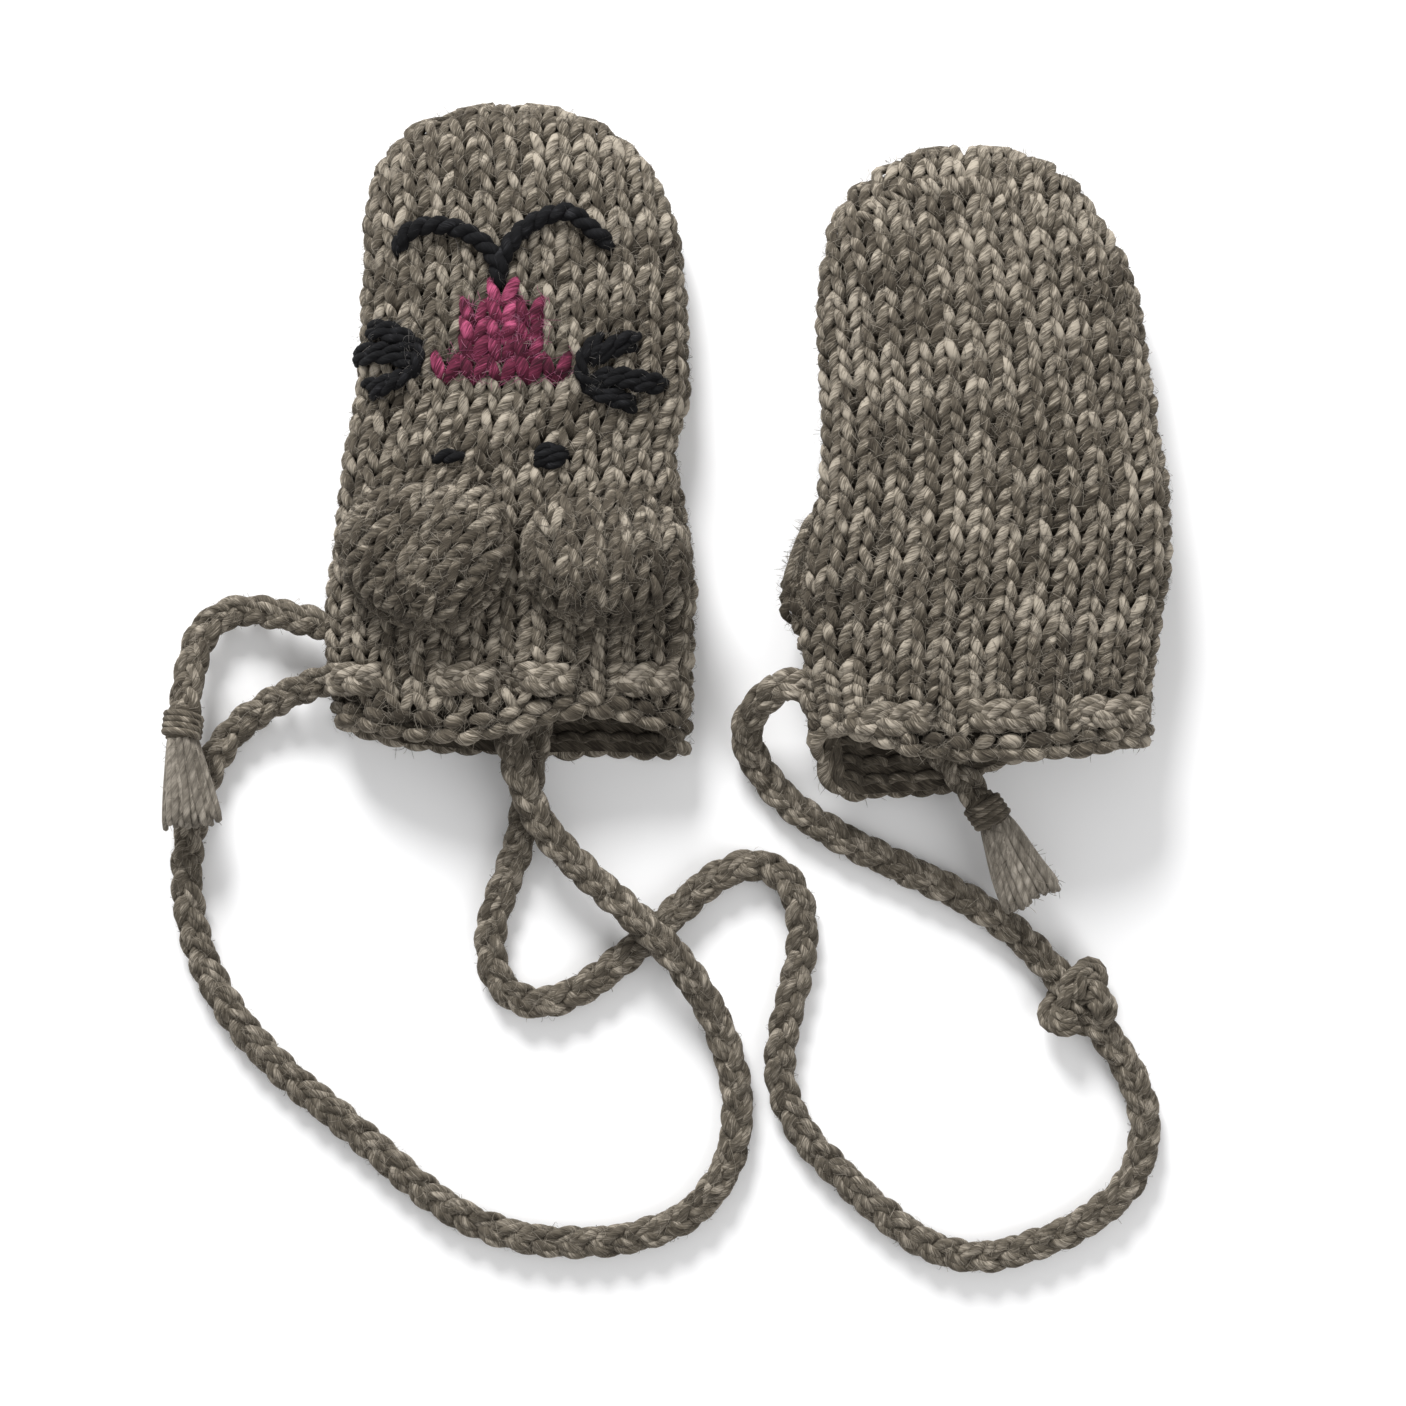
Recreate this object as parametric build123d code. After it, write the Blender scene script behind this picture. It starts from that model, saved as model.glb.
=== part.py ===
from build123d import *
import math
import os

# Pair of knitted animal-face mittens (hand puppets) joined by a braided drawstring cord.
# Millimetres. The table is z = 0. Mitten A lies face up, mitten B face down.
# A mitten's own frame: x across, y from the wrist rim to the fingertips, z up out of the face.

HAND_LENGTH = 137.0        # toddler mitten, wrist rim to fingertip end
HALF_WIDTH = 38.6          # at the wrist end of the hand
HALF_THICK = 10.6
MID_HEIGHT = 9.0           # mid plane above the flat back
WALL = 2.8                 # chunky wool knit
CUFF = 24.0                # garter band
RING_Y = 17.0              # centre of the drawstring row
RING_WIDTH = 7.0
RING_THICK = 1.8
CORD = 7.0                 # braided cord diameter
EAR_GAP = 0.4              # running clearance under an ear
STITCH = 1.2               # how far embroidery stands proud
EAR_RISE_A = 6.0           # padded ear, free
EAR_RISE_B = 4.2           # padded ear, pressed under the mitten

CENTRED = Pos(1.25, 0.2, 0)    # puts the middle of the two mittens on the origin

os.makedirs("parts", exist_ok=True)


def save(shape, name, colour):
    shape = CENTRED * shape
    shape.label = name
    shape.color = Color(*colour)
    export_step(shape, f"parts/{name}.step")
    print(f"{name:22s} {shape.volume:9.1f} mm3")


def slab(x0, x1, y0, y1, z0, z1):
    block = Box(x1 - x0, y1 - y0, z1 - z0)
    return Pos((x0 + x1) / 2, (y0 + y1) / 2, (z0 + z1) / 2) * block


def hand_body(grow, floor):
    """Squashed round-ended bag from the cuff to the tip, grown or shrunk by a thickness."""
    outline = Spline(
        (0, HAND_LENGTH + grow),
        (12 + 0.3 * grow, 135.6 + 0.95 * grow),
        (24 + 0.8 * grow, 129 + 0.6 * grow),
        (32.3 + grow, 112 + 0.2 * grow),
        (34.6 + grow, 90),
        (36.2 + grow, 65),
        (37.6 + grow, 42),
        (HALF_WIDTH + grow, CUFF),
        tangents=((1, 0), (0.04, -1)),
    )
    rest = Polyline((HALF_WIDTH + grow, CUFF), (0, CUFF), (0, HAND_LENGTH + grow))
    bag = revolve(make_face(outline + rest), Axis.Y, 360)
    squash = (HALF_THICK + grow) / (HALF_WIDTH + grow)
    bag = Pos(0, 0, MID_HEIGHT) * scale(bag, by=(1, 1, squash))
    return bag & slab(-60, 60, 0, 160, floor, 60)


def oval_band(outer, inner, y0, y1, floor):
    """Elliptical band round the wrist; outer and inner are offsets from the hand's section."""
    ring = Ellipse(HALF_WIDTH + outer, HALF_THICK + outer)
    if inner is not None:
        ring -= Ellipse(HALF_WIDTH + inner, HALF_THICK + inner)
    band = Pos(0, y1, MID_HEIGHT) * extrude(Plane.XZ * ring, y1 - y0)
    return band & slab(-60, 60, -5, 160, floor, 60)


def stroke(points, width):
    """Chain of round-ended strips, as a yarn laid on the knit."""
    strip = Sketch()
    for start, end in zip(points, points[1:]):
        strip += SlotCenterToCenter(
            math.dist(start, end), width
        ).rotate(Axis.Z, math.degrees(math.atan2(end[1] - start[1], end[0] - start[0]))).translate(
            ((start[0] + end[0]) / 2, (start[1] + end[1]) / 2, 0)
        )
    return strip


OUTER = hand_body(0, 0)
CLEAR = hand_body(EAR_GAP, 0)
PROUD = hand_body(STITCH, 0)
SEAM_PROUD = hand_body(0.8, 0.1)


def on_face(sketch):
    """Layer of yarn following the face under a flat outline."""
    return (PROUD & Pos(0, 0, MID_HEIGHT) * extrude(sketch, 40)) - OUTER


def on_back(sketch):
    return (SEAM_PROUD & extrude(sketch, MID_HEIGHT)) - OUTER


def ear(centre_x, half_width, half_length, top_y, rise, lean):
    """Padded D flap: straight sewn edge towards the tip, free edge towards the wrist."""
    centre_y = top_y - 0.78 * half_length
    edge = MID_HEIGHT + 10.2 * math.sqrt(1 - (centre_x / 37.6) ** 2)
    pad = scale(Sphere(1), by=(half_width, half_length, rise - 1.2))
    pad = Pos(centre_x, centre_y, edge + 1.2) * Rot(0, lean, 0) * pad
    pad &= slab(-60, 60, 0, top_y, 0, 60)
    return pad - CLEAR


def ear_seam(centre_x, half_width, top_y):
    ends = [(centre_x - half_width, top_y + 1.3), (centre_x + half_width, top_y + 1.3)]
    return on_face(stroke(ends, 1.8))


def nose():
    top = Pos(-1.4, 96) * Rectangle(7.8, 4.4)
    bridge = Pos(-0.75, 89.65) * Rectangle(18.3, 8.9)
    base = Pos(-1.25, 81.7) * Rectangle(32.3, 7.4)
    return on_face(top + bridge + base)


def mouth():
    stem = stroke([(-1.3, 100.2), (-1.3, 104)], 3.4)
    left = [
        (-1.3, 104), (-4.8, 106.3), (-8.8, 109), (-13.9, 109.8),
        (-19.5, 108.8), (-21.4, 106.3), (-21.2, 103.3),
    ]
    right = [
        (-1.3, 104), (1.3, 106.3), (4.6, 109.6), (8.6, 111.5),
        (13.2, 112.4), (17, 109.6), (21.6, 106.3),
    ]
    return on_face(stem + stroke(left, 3.4) + stroke(right, 3.4))


def whiskers(hub, ends):
    fan = Sketch()
    for end in ends:
        fan += stroke([hub, end], 2.8)
    return on_face(fan)


def tip_seam():
    arc = [(-25, 116), (-20, 122), (-11, 127), (0, 129), (11, 127), (20, 122), (25, 116)]
    return on_back(stroke(arc, 2.0))


def hand():
    return OUTER - hand_body(-WALL, WALL)


def cuff(straps):
    """Garter band with a groove for the drawstring and knit bars over it."""
    band = oval_band(0, -WALL, 0, CUFF, 0) - slab(-60, 60, -1, CUFF + 1, 0, WALL)
    band += oval_band(0, None, 0, CUFF, 0) & slab(-60, 60, 0, CUFF, 0, WALL)
    low = RING_Y - RING_WIDTH / 2
    high = RING_Y + RING_WIDTH / 2
    band -= oval_band(1, -RING_THICK, low, high, 0)
    bars = oval_band(1, 0, low - 1.2, high + 1.2, 0)
    for x0, x1 in straps:
        band += bars & slab(x0, x1, 0, CUFF, MID_HEIGHT, 60)
    return band


def drawstring():
    low = RING_Y - RING_WIDTH / 2
    return oval_band(0, -RING_THICK, low, low + RING_WIDTH, 0)


def mitten(tag, place, rise, straps, ears):
    wool = (0.62, 0.58, 0.53)
    pink = (0.63, 0.24, 0.42)
    black = (0.08, 0.08, 0.09)
    left, right = ears
    pieces = {
        "hand": (hand(), wool),
        "cuff": (cuff(straps), wool),
        "drawstring": (drawstring(), wool),
        "ear_left": (ear(*left, rise, -9), wool),
        "ear_right": (ear(*right, rise, 10), wool),
        "ear_left_seam": (ear_seam(left[0], 9.5, left[3]), wool),
        "ear_right_seam": (ear_seam(right[0], 9.5, right[3]), wool),
        "nose": (nose(), pink),
        "mouth": (mouth(), black),
        "whiskers_left": (whiskers((-18.9, 80.9), [(-27.3, 89.9), (-31.3, 84), (-26.9, 74.8)]), black),
        "whiskers_right": (whiskers((16.6, 80.9), [(27.5, 86.5), (32.8, 77.7), (26.7, 72.5)]), black),
        "eye_left": (on_face(stroke([(-13.6, 62.4), (-10, 62.4)], 2.7)), black),
        "eye_right": (on_face(Pos(8.4, 62) * Ellipse(3.3, 2.6)), black),
        "tip_seam": (tip_seam(), wool),
    }
    for name, (shape, colour) in pieces.items():
        save(place * shape, f"{name}_{tag}", colour)


A_WRIST = (-50.4, -66.2)
B_WRIST = (47.9, -69.5)
B_HEIGHT = 23.6            # the flat back of B above the table, over its ears
B_TILT = 2.5               # B lies on its ears and its tip
B_YAW = 1.8

PLACE_A = Pos(A_WRIST[0], A_WRIST[1], 0)
PLACE_B = (
    Pos(B_WRIST[0], B_WRIST[1], 0)
    * Rot(0, 0, B_YAW)
    * Pos(0, 41, B_HEIGHT)
    * Rot(-B_TILT, 0, 0)
    * Pos(0, -41, 0)
    * Rot(0, 180, 0)
)

EARS_A = ((-16.3, 16.7, 16.5, 56.0), (20.2, 17.7, 16.0, 54.0))
EARS_B = ((-16.3, 16.7, 16.5, 56.0), (22.5, 17.7, 16.0, 54.0))
STRAPS_A = [(-34, -14.3), (-1.7, 2.5), (13, 21.4)]
STRAPS_B = [(-30, -20), (-8, 2), (14, 24)]

mitten("a", PLACE_A, EAR_RISE_A, STRAPS_A, EARS_A)
mitten("b", PLACE_B, EAR_RISE_B, STRAPS_B, EARS_B)

# Main cord: from A's cuff round the table, over itself, through A's mouth in a hidden loop,
# back out underneath, and on to B's cuff. Heights are of the centre line.
FLOOR = CORD / 2
MAIN_ROUTE = [
    (-87.2, -49.6, 9.0),
    (-92.8, -51.3, 7.4),
    (-100.4, -54.6, 4.4),
    (-108.4, -60.0, FLOOR),
    (-114.2, -68.8, FLOOR),
    (-117.6, -79.5, FLOOR),
    (-118.9, -90.5, FLOOR),
    (-117.6, -102.5, FLOOR),
    (-113.2, -114.0, FLOOR),
    (-106.0, -124.8, FLOOR),
    (-96.2, -134.6, FLOOR),
    (-84.6, -143.6, FLOOR),
    (-74.1, -153.0, FLOOR),
    (-63.6, -161.8, FLOOR),
    (-51.0, -167.4, FLOOR),
    (-37.4, -169.2, FLOOR),
    (-23.7, -168.0, FLOOR),
    (-12.2, -163.6, FLOOR),
    (-4.6, -154.6, FLOOR),
    (-1.6, -142.4, FLOOR),
    (-3.4, -129.8, FLOOR),
    (-8.4, -118.0, 4.6),
    (-15.0, -107.8, 10.7),
    (-24.4, -98.8, 10.7),
    (-34.0, -90.6, 8.4),
    (-43.0, -81.4, 10.8),
    (-48.0, -69.9, 13.0),
    (-51.4, -54.0, 13.0),
    (-60.4, -36.0, 10.4),
    (-68.4, -17.0, 8.6),
    (-67.0, 4.0, 8.6),
    (-50.4, 15.0, 8.6),
    (-34.0, 4.0, 8.6),
    (-31.6, -17.0, 8.4),
    (-37.6, -36.0, 7.4),
    (-43.4, -54.0, 6.5),
    (-46.0, -69.0, 6.4),
    (-47.6, -83.6, FLOOR),
    (-51.9, -94.1, FLOOR),
    (-55.0, -104.6, FLOOR),
    (-53.2, -114.2, FLOOR),
    (-45.4, -119.2, FLOOR),
    (-35.6, -116.0, FLOOR),
    (-25.4, -108.2, FLOOR),
    (-15.6, -99.4, FLOOR),
    (-7.4, -91.6, FLOOR),
    (1.8, -88.0, FLOOR),
    (9.6, -92.4, FLOOR),
    (12.2, -102.6, FLOOR),
    (10.0, -114.8, FLOOR),
    (7.0, -125.6, FLOOR),
    (6.6, -135.6, FLOOR),
    (11.2, -145.8, FLOOR),
    (19.3, -154.2, FLOOR),
    (28.0, -162.2, FLOOR),
    (37.2, -169.4, FLOOR),
    (48.0, -172.6, FLOOR),
    (59.6, -170.0, FLOOR),
    (71.4, -165.0, FLOOR),
    (81.0, -157.0, FLOOR),
    (84.8, -145.4, FLOOR),
    (81.8, -133.6, FLOOR),
    (74.4, -123.2, 4.4),
    (65.6, -112.2, 4.4),
    (56.0, -102.4, FLOOR),
    (44.8, -95.2, FLOOR),
    (32.6, -89.6, FLOOR),
    (20.8, -84.0, FLOOR),
    (10.0, -77.4, FLOOR),
    (2.6, -69.6, FLOOR),
    (-1.0, -61.4, 6.6),
    (1.6, -54.6, 11.8),
    (6.3, -51.8, 15.0),
]
END_A_ROUTE = [
    (-88.0, -38.6, 9.0),
    (-98.0, -36.2, 6.4),
    (-107.6, -34.6, 3.9),
    (-114.6, -38.6, 5.2),
    (-117.2, -47.0, 8.6),
    (-118.0, -57.2, 10.9),
]
END_B_ROUTE = [
    (11.8, -41.0, 14.4),
    (21.6, -47.0, 13.0),
    (29.0, -54.0, 12.0),
    (36.0, -61.0, 11.6),
    (43.0, -67.6, 11.4),
    (48.6, -75.6, 11.2),
]


def radii(points):
    """Bend radius at each corner: 0.45 of the shorter run over tan(half the turn)."""
    found = []
    for before, at, after in zip(points, points[1:], points[2:]):
        arrive = Vector(*at) - Vector(*before)
        leave = Vector(*after) - Vector(*at)
        turn = math.radians(arrive.get_angle(leave))
        found.append(min(400.0, 0.45 * min(arrive.length, leave.length) / math.tan(turn / 2)))
    return found


def cord(name, points):
    bends = radii(points)
    line = FilletPolyline(*points, radius=bends)
    tube = sweep(Plane(line @ 0, z_dir=line % 0) * Circle(CORD / 2), line)
    section = math.pi * CORD ** 2 / 4
    print(name, "radii", [round(bend, 1) for bend in bends])
    ratio = tube.volume / section / line.length
    print(name, f"length {line.length:.1f} mm, volume / (section x length) {ratio:.3f}")
    return tube, line


braid = (0.66, 0.61, 0.56)
main_cord, main_line = cord("main_cord", MAIN_ROUTE)
save(main_cord, "main_cord", braid)

# Overhand knot: a bead on the cord
KNOT_AT = (70.0, -117.7, 5.4)
bead = Pos(*KNOT_AT) * Rot(0, 0, 51) * scale(Sphere(1), by=(9.4, 7.0, 5.4))
save(bead - main_cord, "cord_knot", braid)


def tassel(tag, route, heading, spread):
    """Short cord end, thread wrap and flattened fan of yarn ends, on one line from the cord's end."""
    end_cord, line = cord(f"cord_end_{tag}", route)
    save(end_cord, f"cord_end_{tag}", braid)
    frame = Plane(line @ 1, z_dir=line % 1)
    wrap = extrude(frame * Circle(4.2), 4.5)
    save(wrap, f"tassel_wrap_{tag}", (0.58, 0.54, 0.49))
    tip = Vector(*heading)
    start = (line @ 1) + (line % 1) * 6.5
    flat = Plane(start, x_dir=(-tip.Y, tip.X, 0), z_dir=tip)
    near = flat * Ellipse(3.4, 3.0)
    far = flat.offset(spread[0]) * Ellipse(spread[1], 2.6)
    save(loft([near, far]), f"tassel_{tag}", (0.70, 0.66, 0.60))
    print(f"tassel_{tag} root", [round(v, 2) for v in start])


tassel("a", END_A_ROUTE, (0.1, -0.99, -0.02), (18.0, 6.6))
tassel("b", END_B_ROUTE, (0.42, -0.9, -0.02), (17.0, 6.8))
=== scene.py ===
import math
import bpy
import numpy as np
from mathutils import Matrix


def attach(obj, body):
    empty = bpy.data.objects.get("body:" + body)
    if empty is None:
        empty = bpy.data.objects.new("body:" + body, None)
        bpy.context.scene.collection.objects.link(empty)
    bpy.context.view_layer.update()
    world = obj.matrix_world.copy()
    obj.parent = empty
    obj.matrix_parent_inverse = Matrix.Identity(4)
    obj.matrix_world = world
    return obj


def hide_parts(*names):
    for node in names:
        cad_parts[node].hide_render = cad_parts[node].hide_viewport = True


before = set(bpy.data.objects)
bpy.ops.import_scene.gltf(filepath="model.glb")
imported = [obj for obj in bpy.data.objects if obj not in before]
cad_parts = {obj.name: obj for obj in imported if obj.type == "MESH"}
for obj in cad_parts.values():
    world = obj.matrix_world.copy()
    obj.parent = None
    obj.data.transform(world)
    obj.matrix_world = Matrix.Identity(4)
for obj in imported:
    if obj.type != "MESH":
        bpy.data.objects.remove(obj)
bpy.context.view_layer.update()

# Two chunky knitted mittens with an animal's face, on one braided drawstring cord.
# Shapes are worked out in millimetres and written in metres.
MM = 0.001
CENTRED = np.array([1.25, 0.2, 0.0])
PRESSED = 0.6              # below this height yarn is squeezed against the table
CORD = 7.0                 # diameter of the braided cord
STEP = 0.9                 # distance between points along a cord
rng = np.random.default_rng(11)


# ---------------------------------------------------------------- mesh building
class Knit:
    """Gathers tubes and sheets into one mesh, with a yarn UV (u along, v round) and a tone per vertex."""

    def __init__(self):
        self.v, self.f, self.uv, self.tone, self.n = [], [], [], [], 0

    def add(self, v, faces, uvs, tone):
        self.v.append(v)
        for f, uv in zip(faces, uvs):
            self.f.append(f + self.n)
            self.uv.append(uv)
        self.tone.append(tone)
        self.n += len(v)

    def tubes(self, P, R, N, tone, sides=8, turn=0.0, u0=None, along=None):
        """P (n,k,3) centre lines; R (n,k,2) radii across and along N; N (n,k,3) rough normals."""
        P = np.asarray(P, float)
        n, k, _ = P.shape
        R = np.broadcast_to(np.asarray(R, float), (n, k, 2))
        N = np.broadcast_to(np.asarray(N, float), (n, k, 3))
        T = np.gradient(P, axis=1)
        T /= np.linalg.norm(T, axis=2, keepdims=True) + 1e-12
        B = np.cross(T, N)
        B /= np.linalg.norm(B, axis=2, keepdims=True) + 1e-12
        M = np.cross(B, T)
        seg = np.linalg.norm(np.diff(P, axis=1), axis=2)
        u = np.concatenate([np.zeros((n, 1)), np.cumsum(seg, axis=1)], axis=1)
        if u0 is None:
            u0 = rng.uniform(0, 400, n)
        u = u + np.asarray(u0)[:, None]
        a = np.arange(sides) * 2 * math.pi / sides
        ang = a[None, None, :] + turn
        ring = (P[:, :, None, :]
                + (R[:, :, 0, None] * np.cos(ang))[..., None] * B[:, :, None, :]
                + (R[:, :, 1, None] * np.sin(ang))[..., None] * M[:, :, None, :])
        first = P[:, 0] - T[:, 0] * R[:, 0].mean(axis=1)[:, None] * 0.6
        last = P[:, -1] + T[:, -1] * R[:, -1].mean(axis=1)[:, None] * 0.6
        V = np.concatenate([ring.reshape(n, -1, 3), first[:, None], last[:, None]], axis=1)
        per = k * sides + 2
        i, j = np.meshgrid(np.arange(k - 1), np.arange(sides), indexing="ij")
        i, j = i.ravel(), j.ravel()
        jn = (j + 1) % sides
        quad = np.stack([i * sides + j, i * sides + jn, (i + 1) * sides + jn, (i + 1) * sides + j], axis=1)
        j = np.arange(sides)
        jn = (j + 1) % sides
        cap0 = np.stack([np.full(sides, k * sides), jn, j], axis=1)
        cap1 = np.stack([np.full(sides, k * sides + 1), (k - 1) * sides + j, (k - 1) * sides + jn], axis=1)
        off = (np.arange(n) * per)[:, None, None]
        quads = (quad[None] + off).reshape(-1, 4)
        tris = (np.concatenate([cap0, cap1])[None] + off).reshape(-1, 3)
        qi, qj = np.divmod(np.arange(len(quad)), sides)
        uq = np.stack([u[:, qi], u[:, qi], u[:, qi + 1], u[:, qi + 1]], axis=2)
        vq = np.broadcast_to(np.stack([qj, qj + 1, qj + 1, qj], axis=1)[None] / sides, uq.shape)
        uvq = np.stack([uq, vq], axis=3).reshape(-1, 4, 2)
        uc0 = np.repeat(u[:, :1, None] - 0.5, sides, axis=1).repeat(3, axis=2)
        uc1 = np.repeat(u[:, -1:, None] + 0.5, sides, axis=1).repeat(3, axis=2)
        vc = np.stack([j / sides, (j + 1) / sides, j / sides], axis=1)
        uvt = np.stack([np.concatenate([uc0, uc1], axis=1),
                        np.broadcast_to(np.concatenate([vc, vc])[None], (n, 2 * sides, 3))], axis=3)
        tone = np.broadcast_to(np.asarray(tone, float), (n,))
        along = np.zeros(k) if along is None else np.asarray(along)
        per_vertex = np.concatenate([np.repeat(along, sides), along[[0, -1]]])
        tones = (tone[:, None] + per_vertex).ravel()
        self.add(V.reshape(-1, 3), [quads, tris], [uvq, uvt.reshape(-1, 3, 2)], tones)

    def ribbons(self, P, width, N, tone):
        """Flat fibres lying across the normals N, along the lines P (n,k,3)."""
        n, k, _ = P.shape
        T = np.gradient(P, axis=1)
        B = np.cross(T, np.broadcast_to(N, P.shape))
        B /= np.linalg.norm(B, axis=2, keepdims=True) + 1e-12
        w = np.full((1, k, 1), 0.5 * width)
        w[0, -1] *= 0.3
        V = np.stack([P - B * w, P + B * w], axis=2).reshape(n, 2 * k, 3)
        i = np.arange(k - 1) * 2
        quad = np.stack([i, i + 1, i + 3, i + 2], axis=1)
        quads = (quad[None] + (np.arange(n) * 2 * k)[:, None, None]).reshape(-1, 4)
        corners = np.array([[0.0, 0.1], [0.0, 0.9], [1.0, 0.9], [1.0, 0.1]])
        uv = np.tile(corners[None], (len(quads), 1, 1))
        uv[..., 0] += np.repeat(rng.uniform(0, 400, n), k - 1)[:, None]
        self.add(V.reshape(-1, 3), [quads], [uv], np.repeat(tone, 2 * k))

    def sheet(self, G, tone, wrap=False, flip=False):
        """G (r,c,3) grid of points, as a single skin."""
        r, c, _ = G.shape
        i, j = np.meshgrid(np.arange(r - 1), np.arange(c if wrap else c - 1), indexing="ij")
        i, j = i.ravel(), j.ravel()
        jn = (j + 1) % c
        q = np.stack([i * c + j, i * c + jn, (i + 1) * c + jn, (i + 1) * c + j], axis=1)
        if flip:
            q = q[:, ::-1]
        uv = np.stack([np.stack([j, j + 1, j + 1, j], axis=1) * 1.3,
                       np.stack([i, i, i + 1, i + 1], axis=1) * 0.31], axis=2)
        self.add(G.reshape(-1, 3), [q], [uv], np.full(r * c, tone))

    def build(self, name, material, place=None):
        """Blender object of everything gathered, moved by place and in metres."""
        V = np.concatenate(self.v)
        if place is not None:
            V = place(V)
        # yarn that would sink into the table is pressed flat on it
        V[:, 2] = np.where(V[:, 2] < PRESSED, PRESSED + (V[:, 2] - PRESSED) * 0.08, V[:, 2])
        V = (V + CENTRED) * MM
        me = bpy.data.meshes.new(name)
        me.vertices.add(len(V))
        me.vertices.foreach_set("co", V.astype(np.float32).ravel())
        loops = np.concatenate([f.ravel() for f in self.f])
        sizes = np.concatenate([np.full(len(f), f.shape[1]) for f in self.f])
        me.loops.add(len(loops))
        me.loops.foreach_set("vertex_index", loops.astype(np.int32))
        me.polygons.add(len(sizes))
        me.polygons.foreach_set("loop_start", (np.cumsum(sizes) - sizes).astype(np.int32))
        me.polygons.foreach_set("loop_total", sizes.astype(np.int32))
        me.update(calc_edges=True)
        layer = me.uv_layers.new(name="yarn")
        uv = np.concatenate([u.reshape(-1, 2) for u in self.uv])
        layer.data.foreach_set("uv", uv.astype(np.float32).ravel())
        att = me.attributes.new("tone", "FLOAT", "POINT")
        att.data.foreach_set("value", np.concatenate(self.tone).astype(np.float32))
        me.polygons.foreach_set("use_smooth", np.full(len(sizes), True))
        me.validate()
        ob = bpy.data.objects.new(name, me)
        bpy.context.scene.collection.objects.link(ob)
        me.materials.append(material)
        return ob


def smooth_noise(x, y, seed, scale):
    """Cheap soft noise, about -1 to 1."""
    r = np.random.default_rng(seed)
    out = np.zeros(np.broadcast(x, y).shape)
    for _ in range(7):
        a = r.uniform(0, 2 * math.pi)
        f = r.uniform(0.6, 1.7) * 2 * math.pi / scale
        out = out + np.sin((x * math.cos(a) + y * math.sin(a)) * f + r.uniform(0, 6.3))
    return out / 3.2


def catmull(points, step):
    """Smooth line through given points, evenly spaced."""
    p = np.asarray(points, float)
    p = np.concatenate([[2 * p[0] - p[1]], p, [2 * p[-1] - p[-2]]])
    out = []
    for a, b, c, d in zip(p, p[1:], p[2:], p[3:]):
        t = np.linspace(0, 1, 24, endpoint=False)[:, None]
        out.append(0.5 * (2 * b + (c - a) * t + (2 * a - 5 * b + 4 * c - d) * t ** 2
                          + (3 * b - a - 3 * c + d) * t ** 3))
    out.append(p[-2][None])
    return resample(np.concatenate(out), step)


def resample(line, step):
    """The same line with evenly spaced points, about step apart."""
    s = np.concatenate([[0], np.cumsum(np.linalg.norm(np.diff(line, axis=0), axis=1))])
    m = max(4, int(round(s[-1] / step)) + 1)
    t = np.linspace(0, s[-1], m)
    return np.stack([np.interp(t, s, line[:, i]) for i in range(line.shape[1])], axis=1)


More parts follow.
